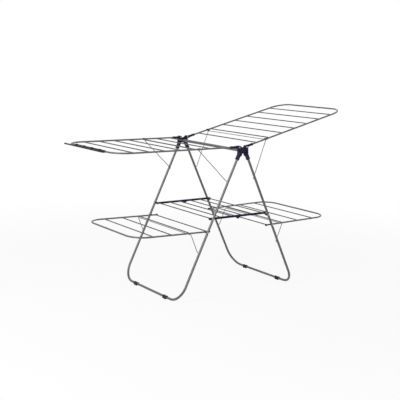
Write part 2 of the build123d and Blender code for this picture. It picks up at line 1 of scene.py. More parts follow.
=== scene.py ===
"""Looks of a folding gull-wing clothes drying rack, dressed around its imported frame.

The frame gives every body its place and its motion. This script draws the bent tubes, rods, wires,
moulded plastic pieces and rivets over it, and sets the studio and the camera. Sizes of the rack are
written in millimetres, as in the frame's own drawing, and turned into metres where a mesh is made.
The floor, the lamps and the depths of the finishes are in metres, and angles are in degrees.
"""

import logging
import math
from dataclasses import dataclass
from enum import Enum
from typing import Callable, Iterable, Sequence

import bmesh
import bpy
from mathutils import Matrix, Vector


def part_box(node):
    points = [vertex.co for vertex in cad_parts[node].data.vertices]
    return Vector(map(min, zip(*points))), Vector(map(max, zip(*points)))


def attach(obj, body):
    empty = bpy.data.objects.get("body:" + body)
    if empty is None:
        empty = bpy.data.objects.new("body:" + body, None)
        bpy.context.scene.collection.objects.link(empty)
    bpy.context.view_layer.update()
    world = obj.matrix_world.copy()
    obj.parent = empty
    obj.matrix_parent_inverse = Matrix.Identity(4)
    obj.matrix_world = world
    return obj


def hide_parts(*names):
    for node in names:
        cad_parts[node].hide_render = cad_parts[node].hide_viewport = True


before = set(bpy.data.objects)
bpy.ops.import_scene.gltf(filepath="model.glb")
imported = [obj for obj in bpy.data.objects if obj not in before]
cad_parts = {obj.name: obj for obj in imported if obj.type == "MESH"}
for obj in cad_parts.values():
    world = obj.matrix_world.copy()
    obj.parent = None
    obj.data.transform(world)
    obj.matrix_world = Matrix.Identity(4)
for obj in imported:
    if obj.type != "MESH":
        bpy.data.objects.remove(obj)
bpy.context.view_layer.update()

MM = 0.001
MERGE_DISTANCE = 1e-6
STRAIGHT_DOWN = -90.0
WHITE = (1.0, 1.0, 1.0, 1.0)
EDGE_RUB = "edge_rub"
LOG = logging.getLogger("drying_rack")

Spot = tuple[float, float]
Outline = Sequence[tuple[float, float]]
Triple = tuple[float, float, float]
Colour = tuple[float, float, float, float]
Socket = bpy.types.NodeSocket


class Worded(Enum):
    """Option that the names of nodes and bodies spell in small letters."""

    @property
    def word(self) -> str:
        """Option as the names spell it."""
        return self.name.lower()


class Side(Worded):
    """Half of the rack, with its sign along X."""

    LEFT = -1
    RIGHT = 1


class End(Worded):
    """End of the rack, with its sign along Y."""

    FRONT = -1
    BACK = 1


class Slot(Enum):
    """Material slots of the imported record."""

    TUBE = "tube"
    ROD = "rod_wire"
    STAY = "stay_wire"
    PIN = "pin_steel"
    NAVY = "navy_plastic"
    BLACK = "black_plastic"


class NodeSketch:
    """Adds and links the shader nodes of one material or world."""

    # Range that most of a noise lies in, and the places of the Mix node's colour sockets.
    noise_low, noise_high = 0.3, 0.7
    mix_share, mix_first, mix_second, mix_result = 0, 6, 7, 2

    def __init__(self, tree: bpy.types.NodeTree) -> None:
        """Start from an empty node tree.

        Args:
            tree: Node tree of the material or the world.
        """
        self.tree = tree
        tree.nodes.clear()

    def add(self, kind: str, **inputs: object) -> bpy.types.Node:
        """Add a node and set some of its inputs.

        Args:
            kind: Shader node type, without its ShaderNode prefix.
            inputs: Values for input sockets, with spaces in the names written as underscores.

        Returns:
            The new node.
        """
        node = self.tree.nodes.new("ShaderNode" + kind)
        for name, value in inputs.items():
            node.inputs[name.replace("_", " ")].default_value = value
        return node

    def link(self, source: Socket, target: Socket) -> None:
        """Join an output socket to an input socket."""
        self.tree.links.new(source, target)

    def noise(self, coords: Socket, scale: float, detail: float) -> Socket:
        """Add a noise pattern.

        Args:
            coords: Socket that gives the pattern its coordinates.
            scale: Repeats per metre.
            detail: Levels of finer noise.

        Returns:
            The pattern's grey value.
        """
        node = self.add("TexNoise", Scale=scale, Detail=detail)
        self.link(coords, node.inputs["Vector"])
        return node.outputs["Fac"]

    def spread(self, value: Socket, low: float, high: float) -> Socket:
        """Stretch the range that most of a noise lies in over another range.

        Args:
            value: Noise value.
            low: Result for the dark parts.
            high: Result for the bright parts.

        Returns:
            The stretched value.
        """
        node = self.add(
            "MapRange", From_Min=self.noise_low, From_Max=self.noise_high, To_Min=low, To_Max=high
        )
        self.link(value, node.inputs["Value"])
        return node.outputs["Result"]

    def blend(self, share: Socket, first: Colour | Socket, second: Colour | Socket) -> Socket:
        """Mix two colours.

        Args:
            share: Socket with the share of the second colour.
            first: Colour or socket at share 0.
            second: Colour or socket at share 1.

        Returns:
            The mixed colour.
        """
        node = self.add("Mix")
        node.data_type = "RGBA"
        self.link(share, node.inputs[self.mix_share])
        for place, colour in ((self.mix_first, first), (self.mix_second, second)):
            if isinstance(colour, Socket):
                self.link(colour, node.inputs[place])
            else:
                node.inputs[place].default_value = colour
        return node.outputs[self.mix_result]

    def combine(self, operation: str, first: Socket, second: Socket) -> Socket:
        """Work out one value from two.

        Args:
            operation: What the Math node does.
            first: First value.
            second: Second value.

        Returns:
            The result.
        """
        node = self.add("Math")
        node.operation = operation
        for source, target in zip((first, second), node.inputs):
            self.link(source, target)
        return node.outputs[0]

    def bump(self, height: Socket, strength: float, depth: float) -> Socket:
        """Add a bump.

        Args:
            height: Height pattern from 0 to 1.
            strength: Share of the bump that shows.
            depth: Depth of the pattern in metres.

        Returns:
            The bumped normal.
        """
        node = self.add("Bump", Strength=strength, Distance=depth)
        self.link(height, node.inputs["Height"])
        return node.outputs["Normal"]

    def mix_shaders(
        self, share: Socket, first: bpy.types.Node, second: bpy.types.Node
    ) -> bpy.types.Node:
        """Mix two shaders.

        Args:
            share: Socket with the share of the second shader.
            first: Shader at share 0.
            second: Shader at share 1.

        Returns:
            The node that mixes them.
        """
        node = self.add("MixShader")
        for source, target in zip((share, first.outputs[0], second.outputs[0]), node.inputs):
            self.link(source, target)
        return node

    def show(self, shader: bpy.types.Node, output: str = "OutputMaterial") -> None:
        """Make a shader the surface that is seen."""
        self.link(shader.outputs[0], self.add(output).inputs["Surface"])


def blank_material(name: str) -> tuple[bpy.types.Material, NodeSketch]:
    """Make a material with no nodes yet.

    Args:
        name: Name of the material.

    Returns:
        The material, and the sketch that adds its nodes.
    """
    made = bpy.data.materials.new(name)
    made.use_nodes = True
    return made, NodeSketch(made.node_tree)


def shade(tone: Triple, change: float = 1.0) -> Colour:
    """Colour with full cover, lightened or darkened by a factor."""
    return (tone[0] * change, tone[1] * change, tone[2] * change, 1.0)


@dataclass(frozen=True)
class CoatedSteel:
    """Satin grey coating on steel tube and wire, with a faint orange peel and fine flakes."""

    name: str
    grey: Triple
    metallic: float = 0.35
    refraction: float = 1.5
    smooth: float = 0.34
    rough: float = 0.46
    cloud_scale: float = 14.0
    cloud_detail: float = 3.0
    cloud_dark: float = 0.92
    cloud_light: float = 1.07
    flake_scale: float = 2600.0
    flake_detail: float = 1.0
    flake_light: float = 1.5
    flake_share: tuple[float, float] = (-0.25, 0.30)
    peel_scale: float = 620.0
    peel_detail: float = 1.5
    peel_strength: float = 0.35
    peel_depth: float = 0.00005

    def material(self) -> bpy.types.Material:
        """Make the material.

        Returns:
            The finished material.
        """
        made, sketch = blank_material(self.name)
        coords = sketch.add("TexCoord").outputs["Object"]
        cloud = sketch.noise(coords, self.cloud_scale, self.cloud_detail)
        flake = sketch.noise(coords, self.flake_scale, self.flake_detail)
        peel = sketch.noise(coords, self.peel_scale, self.peel_detail)
        dark, light = shade(self.grey, self.cloud_dark), shade(self.grey, self.cloud_light)
        base = sketch.blend(sketch.spread(cloud, 0.0, 1.0), dark, light)
        flecks = sketch.spread(flake, *self.flake_share)
        flecked = sketch.blend(flecks, base, shade(self.grey, self.flake_light))
        shader = sketch.add("BsdfPrincipled", Metallic=self.metallic, IOR=self.refraction)
        sketch.link(flecked, shader.inputs["Base Color"])
        sketch.link(sketch.spread(cloud, self.smooth, self.rough), shader.inputs["Roughness"])
        relief = sketch.bump(peel, self.peel_strength, self.peel_depth)
        sketch.link(relief, shader.inputs["Normal"])
        sketch.show(shader)
        return made


@dataclass(frozen=True)
class BareSteel:
    """Plain zinc-bright steel of rivets and pins, with fine turning marks and dull spots."""

    name: str
    grey: Triple
    smooth: float = 0.26
    rough: float = 0.44
    spot_scale: float = 180.0
    spot_detail: float = 4.0
    spot_dark: float = 0.82
    spot_light: float = 1.08
    mark_scale: float = 3000.0
    mark_detail: float = 1.0
    mark_strength: float = 0.25
    mark_depth: float = 0.00002

    def material(self) -> bpy.types.Material:
        """Make the material.

        Returns:
            The finished material.
        """
        made, sketch = blank_material(self.name)
        coords = sketch.add("TexCoord").outputs["Object"]
        spots = sketch.noise(coords, self.spot_scale, self.spot_detail)
        marks = sketch.noise(coords, self.mark_scale, self.mark_detail)
        dark, light = shade(self.grey, self.spot_dark), shade(self.grey, self.spot_light)
        base = sketch.blend(sketch.spread(spots, 0.0, 1.0), dark, light)
        shader = sketch.add("BsdfPrincipled", Metallic=1.0)
        sketch.link(base, shader.inputs["Base Color"])
        sketch.link(sketch.spread(spots, self.rough, self.smooth), shader.inputs["Roughness"])
        relief = sketch.bump(marks, self.mark_strength, self.mark_depth)
        sketch.link(relief, shader.inputs["Normal"])
        sketch.show(shader)
        return made


@dataclass(frozen=True)
class MouldedPlastic:
    """Satin moulded plastic with fine grain, faint flow clouds and edges rubbed lighter."""

    name: str
    tint: Triple
    rubbed: Triple
    shine: float = 0.22
    refraction: float = 1.5
    smooth: float = 0.36
    rough: float = 0.50
    cloud_scale: float = 34.0
    cloud_detail: float = 3.0
    cloud_dark: float = 0.86
    cloud_light: float = 1.16
    grain_scale: float = 1900.0
    grain_detail: float = 2.0
    grain_strength: float = 0.30
    grain_depth: float = 0.00006
    rub_scale: float = 210.0
    rub_detail: float = 3.0
    rub_share: tuple[float, float] = (0.05, 0.75)

    def material(self) -> bpy.types.Material:
        """Make the material.

        Returns:
            The finished material.
        """
        made, sketch = blank_material(self.name)
        coords = sketch.add("TexCoord").outputs["Object"]
        cloud = sketch.noise(coords, self.cloud_scale, self.cloud_detail)
        grain = sketch.noise(coords, self.grain_scale, self.grain_detail)
        patches = sketch.noise(coords, self.rub_scale, self.rub_detail)
        edge = sketch.add("Attribute")
        edge.attribute_name = EDGE_RUB
        worn_share = sketch.spread(patches, *self.rub_share)
        rub = sketch.combine("MULTIPLY", edge.outputs["Fac"], worn_share)
        dark, light = shade(self.tint, self.cloud_dark), shade(self.tint, self.cloud_light)
        base = sketch.blend(sketch.spread(cloud, 0.0, 1.0), dark, light)
        worn = sketch.blend(rub, base, shade(self.rubbed))
        shader = sketch.add("BsdfPrincipled", IOR=self.refraction, Specular_IOR_Level=self.shine)
        sketch.link(worn, shader.inputs["Base Color"])
        sketch.link(sketch.spread(cloud, self.smooth, self.rough), shader.inputs["Roughness"])
        relief = sketch.bump(grain, self.grain_strength, self.grain_depth)
        sketch.link(relief, shader.inputs["Normal"])
        sketch.show(shader)
        return made


class Palette:
    """Finished materials, one for each slot of the record."""

    def __init__(self) -> None:
        """Make every finish once."""
        finishes = {
            Slot.TUBE: CoatedSteel("satin_grey_tube", grey=(0.120, 0.121, 0.119)),
            # Rods take the tube's coating at half its grey: painted shade that darkens the thin
            # rods, not a different paint.
            Slot.ROD: CoatedSteel("satin_grey_rod_painted_shade", grey=(0.060, 0.061, 0.059), cloud_scale=22.0),
            Slot.STAY: CoatedSteel(
                "satin_grey_wire", grey=(0.150, 0.150, 0.148), metallic=0.5, cloud_scale=30.0
            ),
            Slot.PIN: BareSteel("zinc_bright_steel", grey=(0.36, 0.36, 0.355)),
            Slot.NAVY: MouldedPlastic(
                "navy_plastic",
                tint=(0.0310, 0.0250, 0.0570),
                rubbed=(0.080, 0.070, 0.140),
                shine=0.04,
            ),
            Slot.BLACK: MouldedPlastic(
                "black_plastic", tint=(0.0050, 0.0047, 0.0070), rubbed=(0.035, 0.034, 0.042)
            ),
        }
        self.materials = {slot: finish.material() for slot, finish in finishes.items()}

    def of(self, slot: Slot) -> bpy.types.Material:
        """Material of a slot."""
        return self.materials[slot]


@dataclass(frozen=True)
class Layout:
    """Sizes that place the pieces, and the spots that follow from them."""

    half_spacing: float = 295.0
    leg_tilt: float = 25.4
    leg_offset: float = 14.0
    wing_pivot_across: float = 24.0
    wing_pivot_rise: float = 19.4
    left_wing_angle: float = 0.0
    right_wing_angle: float = 14.35
    lower_along: float = 478.0
    lower_angle: float = 1.2
    left_lower_inset: float = 27.0
    right_lower_inset: float = 15.0
    shelf_along: float = 403.0

    @property
    def hub(self) -> Spot:
        """Axis of the stretcher as (x, z), read from the frame.

        Returns:
            The spot in millimetres.
        """
        low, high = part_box("stretcher_tube")
        middle = (low + high) / 2 / MM
        return middle.x, middle.z

    @staticmethod
    def turned(side: Side, angle: float, along: float, rise: float) -> Spot:
        """Step along a direction that points outward, and square to it.

        Args:
            side: Half of the rack that the direction points to.
            angle: Angle of the direction above the level.
            along: Length of the step along the direction.
            rise: Length of the step square to it.

        Returns:
            The step as (x, z).
        """
        turn = math.radians(angle)
        step = along * math.cos(turn) - rise * math.sin(turn)
        return side.value * step, along * math.sin(turn) + rise * math.cos(turn)

    def wing_angle(self, side: Side) -> float:
        """Angle of an upper wing above the level."""
        return self.left_wing_angle if side is Side.LEFT else self.right_wing_angle

    def lower_inset(self, side: Side) -> float:
        """Distance of a lower wing's rails from the legs, inward."""
        return self.left_lower_inset if side is Side.LEFT else self.right_lower_inset

    def leg_spot(self, side: Side, along: float, out: float) -> Spot:
        """Point on a leg frame as (x, z): along the leg, and outward from the stretcher."""
        step = self.turned(side, self.leg_tilt + STRAIGHT_DOWN, along, out)
        return self.hub[0] + step[0], self.hub[1] + step[1]

    def wing_spot(self, side: Side, along: float, rise: float) -> Spot:
        """Point on an upper wing.

        Args:
            side: Half of the rack.
            along: Distance from the wing's pivot.
            rise: Height above the rails' middle line.

        Returns:
            The point as (x, z).
        """
        step = self.turned(side, self.wing_angle(side), along, rise)
        across = self.hub[0] + side.value * self.wing_pivot_across
        return across + step[0], self.hub[1] + self.wing_pivot_rise + step[1]

    def lower_spot(self, side: Side, along: float, rise: float) -> Spot:
        """Point on a lower wing.

        Args:
            side: Half of the rack.
            along: Distance from the wing's pivot on the leg.
            rise: Height above the rails' middle line.

        Returns:
            The point as (x, z).
        """
        pivot = self.leg_spot(side, self.lower_along, self.leg_offset)
        step = self.turned(side, self.lower_angle, along, rise)
        return pivot[0] + step[0], pivot[1] + step[1]

    def shelf_spot(self, side: Side, along: float, rise: float) -> Spot:
        """Point on a shelf half as (x, z), from the rack's middle towards the leg."""
        level = self.leg_spot(side, self.shelf_along, self.leg_offset)[1]
        return self.hub[0] + side.value * along, level + rise


def point(spot: Spot, across: float) -> Vector:
    """Point in metres from (x, z) and a place along Y, both in millimetres."""
    return Vector((spot[0], across, spot[1])) * MM


@dataclass
class Workbench:
    """Makes scene objects from bmesh shapes and hands them to the frame."""

    palette: Palette
    crease: float = 38.0
    count: int = 0

    def finish(
        self,
        shape: bmesh.types.BMesh,
        name: str,
        body: str,
        slot: Slot,
        replaced: Sequence[str] = (),
    ) -> None:
        """Turn a shape into a piece that rides on a body.

        Args:
            shape: Finished shape, placed in metres. It is freed here.
            name: Name of the piece.
            body: Body of the frame that carries it.
            slot: Material slot that it takes its finish from.
            replaced: Nodes of the frame that the piece stands for.
        """
        mesh = bpy.data.meshes.new(name)
        shape.to_mesh(mesh)
        shape.free()
        mesh.polygons.foreach_set("use_smooth", [True] * len(mesh.polygons))
        mesh.set_sharp_from_angle(angle=math.radians(self.crease))
        mesh.materials.append(self.palette.of(slot))
        piece = bpy.data.objects.new(name, mesh)
        bpy.context.scene.collection.objects.link(piece)
        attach(piece, body)
        if replaced:
            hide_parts(*replaced)
        self.count += 1
        LOG.info("%s rides on %s with %d faces", name, body, len(mesh.polygons))

    def soften(self, node: str, edge: float, name: str, body: str, slot: Slot) -> None:
        """Stand a copy with rounded edges in for a moulded node of the frame.

        Args:
            node: Name of the node.
            edge: Size of the rounding.
            name: Name of the piece.
            body: Body of the frame that carries it.
            slot: Material slot that it takes its finish from.
        """
        self.finish(softened_copy(node, edge), name, body, slot, [node])


def merge_into(shape: bmesh.types.BMesh, part: bmesh.types.BMesh, place: Matrix) -> None:
    """Add a part to a shape and free the part.

    Args:
        shape: Shape that grows.
        part: Part to add.
        place: Where the part goes, in metres.
    """
    bmesh.ops.transform(part, matrix=place, verts=part.verts)
    carrier = bpy.data.meshes.new("carrier")
    part.to_mesh(carrier)
    part.free()
    shape.from_mesh(carrier)
    bpy.data.meshes.remove(carrier)


def aimed(origin: Vector, direction: Vector) -> Matrix:
    """Matrix that takes the Z axis to a direction and the zero point to an origin."""
    turn = Vector((0, 0, 1)).rotation_difference(direction).to_matrix().to_4x4()
    return Matrix.Translation(origin) @ turn


def turned_shape(outline: Outline, sides: int, ring: bool) -> bmesh.types.BMesh:
    """Turn an outline about the Z axis.

    Args:
        outline: Points as (radius, height).
        sides: Facets round the axis.
        ring: Whether the outline closes on itself, as on a washer.

    Returns:
        The closed shape in metres.
    """
    shape = bmesh.new()
    verts = [shape.verts.new((radius * MM, 0.0, height * MM)) for radius, height in outline]
    pairs = list(zip(verts, verts[1:]))
    if ring:
        pairs.append((verts[-1], verts[0]))
    edges = [shape.edges.new(pair) for pair in pairs]
    bmesh.ops.spin(
        shape,
        geom=verts + edges,
        cent=(0, 0, 0),
        axis=(0, 0, 1),
        dvec=(0, 0, 0),
        angle=2 * math.pi,
        steps=sides,
        use_merge=True,
        use_duplicate=False,
    )
    bmesh.ops.remove_doubles(shape, verts=shape.verts, dist=MERGE_DISTANCE)
    bmesh.ops.recalc_face_normals(shape, faces=shape.faces)
    return shape


def softened_copy(
    node: str, edge: float, sharp: float = 24.0, flat: float = 0.4, segments: int = 2
) -> bmesh.types.BMesh:
    """Copy a node of the frame and round its sharp edges, as a mould leaves them.

    Args:
        node: Name of the node.
        edge: Size of the rounding.
        sharp: Angle above which an edge is rounded.
        flat: Angle below which neighbouring faces become one.
        segments: Facets across a rounded edge.

    Returns:
        The copy in metres, with its rounded faces marked in the edge attribute.
    """
    shape = bmesh.new()
    rub = shape.faces.layers.float.new(EDGE_RUB)
    shape.from_mesh(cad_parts[node].data)
    bmesh.ops.remove_doubles(shape, verts=shape.verts, dist=MERGE_DISTANCE)
    bmesh.ops.dissolve_limit(
        shape, angle_limit=math.radians(flat), verts=shape.verts[:], edges=shape.edges[:]
    )
    limit = math.radians(sharp)
    crisp = [line for line in shape.edges if line.is_manifold and line.calc_face_angle() > limit]
    rounded = bmesh.ops.bevel(
        shape,
        geom=crisp,
        offset=edge * MM,
        offset_type="OFFSET",
        segments=segments,
        profile=0.5,
        affect="EDGES",
        clamp_overlap=True,
        material=-1,
    )["faces"]
    for face in rounded:
        face[rub] = 1.0
    return shape


@dataclass(frozen=True)
class TubeStock:
    """Round tube, rod or wire: its section, its bends, and how finely they are drawn."""

    radius: float
    sides: int
    bend: float = 0.0
    steps: int = 1

    def swept(self, route: Sequence[Vector]) -> bmesh.types.BMesh:
        """Draw the tube along a route of straight runs and tangent bends.

        Args:
            route: Corner points in metres.

        Returns:
            The closed shape in metres.
        """
        shape = bmesh.new()
        spot, bend = route[0], self.bend * MM
        heading = (route[1] - spot).normalized()
        bmesh.ops.create_circle(
            shape,
            cap_ends=True,
            radius=self.radius * MM,
            segments=self.sides,
            matrix=aimed(spot, heading),
        )
        tip = shape.faces[:]
        for corner, after in zip(route[1:], list(route[2:]) + [None]):
            if after is None:
                stop = corner
            else:
                turn_to = (after - corner).normalized()
                angle = heading.angle(turn_to)
                reach = bend * math.tan(angle / 2)
                stop = corner - heading * reach
            made = bmesh.ops.extrude_face_region(shape, geom=tip)["geom"]
            tip = [item for item in made if isinstance(item, bmesh.types.BMFace)]
            bmesh.ops.translate(shape, vec=stop - spot, verts=tip[0].verts)
            if after is None:
                break
            inward = (turn_to - heading * heading.dot(turn_to)).normalized()
            last = bmesh.ops.spin(
                shape,
                geom=tip,
                cent=stop + inward * bend,
                axis=heading.cross(inward),
                dvec=(0, 0, 0),
                angle=angle,
                steps=self.steps,
                use_merge=False,
                use_duplicate=False,
            )["geom_last"]
            tip = [item for item in last if isinstance(item, bmesh.types.BMFace)]
            spot = corner + turn_to * reach
            heading = turn_to
        # A bend leaves the faces that it starts and ends on inside the tube.
        inner = [
            face for face in shape.faces if all(len(edge.link_faces) > 2 for edge in face.edges)
        ]
        bmesh.ops.delete(shape, geom=inner, context="FACES_ONLY")
        bmesh.ops.recalc_face_normals(shape, faces=shape.faces)
        return shape

    def rods(self, spots: Iterable[Spot], half: float) -> bmesh.types.BMesh:
        """Draw straight rods from front to back.

        Args:
            spots: Rod axes as (x, z).
            half: Half the length of a rod.

        Returns:
            All rods in one shape, in metres.
        """
        shape = bmesh.new()
        for spot in spots:
            rod = self.swept([point(spot, -half), point(spot, half)])
            merge_into(shape, rod, Matrix.Identity(4))
        return shape


@dataclass(frozen=True)
class Rivet:
    """Rivet or pin along Y, with a domed head outside the leg.

    Its shank runs from start to end, both measured inward from the leg's middle line.
    """

    radius: float
    head_radius: float
    start: float
    end: float
    inner_head: bool = True
    head_height: float = 2.0
    dome_steps: int = 6
    rim_share: float = 0.06
    upset_share: float = 0.82
    upset_shoulder: float = 0.45
    crown_radius: float = 0.6
    crown_height: float = 0.85
    tip_chamfer: float = 0.6
    sides: int = 28

    def outline(self) -> Outline:
        """Half section as (radius, height).

        Returns:
            Points from the top of the outer head to the inner end.
        """
        head, high = self.head_radius, self.head_height
        turns = [step * math.pi / (2 * self.dome_steps) for step in range(self.dome_steps)]
        dome = [(head * math.sin(turn), high * math.cos(turn)) for turn in turns]
        dome += [(head, self.rim_share * high), (head, 0.0), (self.radius, 0.0)]
        run = self.end - self.start
        if self.inner_head:
            upset = self.upset_share * head
            tail = [(self.radius, -run), (upset, -run), (upset, -run - self.upset_shoulder * high)]
            tail += [(self.crown_radius * upset, -run - self.crown_height * high)]
            tail += [(0.0, -run - high)]
        else:
            tail = [(self.radius, -run + self.tip_chamfer), (self.radius - self.tip_chamfer, -run)]
            tail += [(0.0, -run)]
        return dome + tail

    def pair(self, layout: Layout, spot: Spot) -> bmesh.types.BMesh:
        """Make the front and the back rivet at a spot.

        Args:
            layout: Placing sizes of the rack.
            spot: Axis as (x, z).

        Returns:
            Both rivets in one shape, in metres.
        """
        shape = bmesh.new()
        for end in End:
            seat = point(spot, end.value * (layout.half_spacing - self.start))
            rivet = turned_shape(self.outline(), self.sides, False)
            merge_into(shape, rivet, aimed(seat, Vector((0, end.value, 0))))
        return shape


@dataclass(frozen=True)
class RodWelds:
    """Small flared weld collars where rods enter a rail."""

    rod_radius: float = 3.0
    rail_radius: float = 4.5
    height: float = 2.6
    flare: float = 0.9
    flare_power: float = 2.2
    flare_depth: float = 1.12
    flare_steps: int = 5
    cover: float = 0.1
    bite: float = 0.3
    root: float = 0.4
    sides: int = 20

    def outline(self) -> Outline:
        """Section of a collar as (radius, height), from its top round to its bore.

        Returns:
            Points of the closed section, with heights from the rail's middle line.
        """
        inside, top = self.rod_radius - self.bite, self.rail_radius + self.height
        section = [(inside, top)]
        for step in range(self.flare_steps + 1):
            share = step / self.flare_steps
            width = self.rod_radius + self.cover + self.flare * share**self.flare_power
            section.append((width, top - self.height * self.flare_depth * share))
        wide = self.rod_radius + self.flare
        foot = math.sqrt(self.rail_radius**2 - wide**2) - self.root
        return section + [(wide, foot), (inside, foot)]

    def build(self, spots: Iterable[Spot], rail: float) -> bmesh.types.BMesh:
        """Make the collars on both rails of a wing.

        Args:
            spots: Rod axes as (x, z).
            rail: Distance of each rail's middle line from the middle of the rack.

        Returns:
            All collars in one shape, in metres.
        """
        shape = bmesh.new()
        for spot in spots:
            for end in End:
                seat = point(spot, end.value * rail)
                collar = turned_shape(self.outline(), self.sides, True)
                merge_into(shape, collar, aimed(seat, Vector((0, -end.value, 0))))
        return shape


@dataclass(frozen=True)
class RodGrid:
    """U-shaped rails with rods welded between them, as every wing has."""

    start: float
    length: float
    rod_first: float
    rod_pitch: float
    rod_count: int
    rail: TubeStock = TubeStock(radius=4.5, sides=28, bend=90.0, steps=28)
    rod: TubeStock = TubeStock(radius=3.0, sides=20)

    def rod_place(self, number: int) -> float:
        """Place of a rod along the wing."""
        return self.rod_first + self.rod_pitch * number

    def build(
        self, bench: Workbench, word: str, body: str, spot: Callable[[float], Spot], half: float
    ) -> None:
        """Make and dress the rails, the rods and their welds.

        Args:
            bench: Workbench that takes the shapes.
            word: Start of the names of pieces and nodes.
            body: Body of the frame that carries the wing.
            spot: Gives (x, z) on the wing's middle line for a place along it.
            half: Distance of each rail's middle line from the middle of the rack.
        """
        near, far = spot(self.start), spot(self.length)
        route = [point(near, -half), point(far, -half), point(far, half), point(near, half)]
        rails = self.rail.swept(route)
        bench.finish(rails, f"{word}_rails", body, Slot.TUBE, [f"{word}_frame"])
        axes = [spot(self.rod_place(number)) for number in range(self.rod_count)]
        rods = self.rod.rods(axes, half)
        bench.finish(rods, f"{word}_wires", body, Slot.ROD, [f"{word}_rods"])
        welds = RodWelds(self.rod.radius, self.rail.radius).build(axes, half)
        bench.finish(welds, f"{word}_welds", body, Slot.ROD)


@dataclass(frozen=True)
class EndCap:
    """Turned cap with a dished face, the small nub where it was filled, and a plug behind.

    The face is given from its middle to its rim as (radius, depth below the rim).
    """

    radius: float = 11.0
    height: float = 3.0
    plug_radius: float = 6.7
    plug_length: float = 12.0
    nub: Outline = ((0.0, 0.5), (1.3, 0.5), (1.8, 0.75), (2.4, 0.8))
    dish: Outline = ((6.2, 0.8), (6.8, 0.6), (7.1, 0.15), (7.6, 0.0))
    rim: Outline = ((9.7, 0.0), (10.4, 0.25), (10.8, 0.7), (11.0, 1.2))
    sides: int = 40

    def build(self) -> bmesh.types.BMesh:
        """Make the cap on the Z axis, with its face upward.

        Returns:
            The closed shape in metres.
        """
        face = (*self.nub, *self.dish, *self.rim)
        outline = [(radius, self.height - depth) for radius, depth in face]
        outline += [(self.radius, 0.0), (self.plug_radius, 0.0)]
        outline += [(self.plug_radius, -self.plug_length), (0.0, -self.plug_length)]
        return turned_shape(outline, self.sides, False)


@dataclass
class Stretcher:
    """Tube across the top with its collars and its two end caps."""

    bench: Workbench
    layout: Layout
    half_length: float = 306.5
    tube: TubeStock = TubeStock(radius=8.0, sides=36)
    end_cap: EndCap = EndCap()
    collar_edge: float = 0.5
    body: str = "stretcher"

    def build(self) -> None:
        """Make and dress every piece of the stretcher."""
        tube = self.tube.rods([self.layout.hub], self.half_length)
        self.bench.finish(tube, "top_stretcher", self.body, Slot.TUBE, ["stretcher_tube"])
        for end in End:
            seat = point(self.layout.hub, end.value * self.half_length)
            cap, place = self.end_cap.build(), aimed(seat, Vector((0, end.value, 0)))
            bmesh.ops.transform(cap, matrix=place, verts=cap.verts)
            node = f"stretcher_cap_{end.word}"
            self.bench.finish(cap, f"hub_{end.word}_cap", self.body, Slot.NAVY, [node])
        self.bench.soften(
            "stretcher_collars", self.collar_edge, "stretcher_rings", self.body, Slot.NAVY
        )


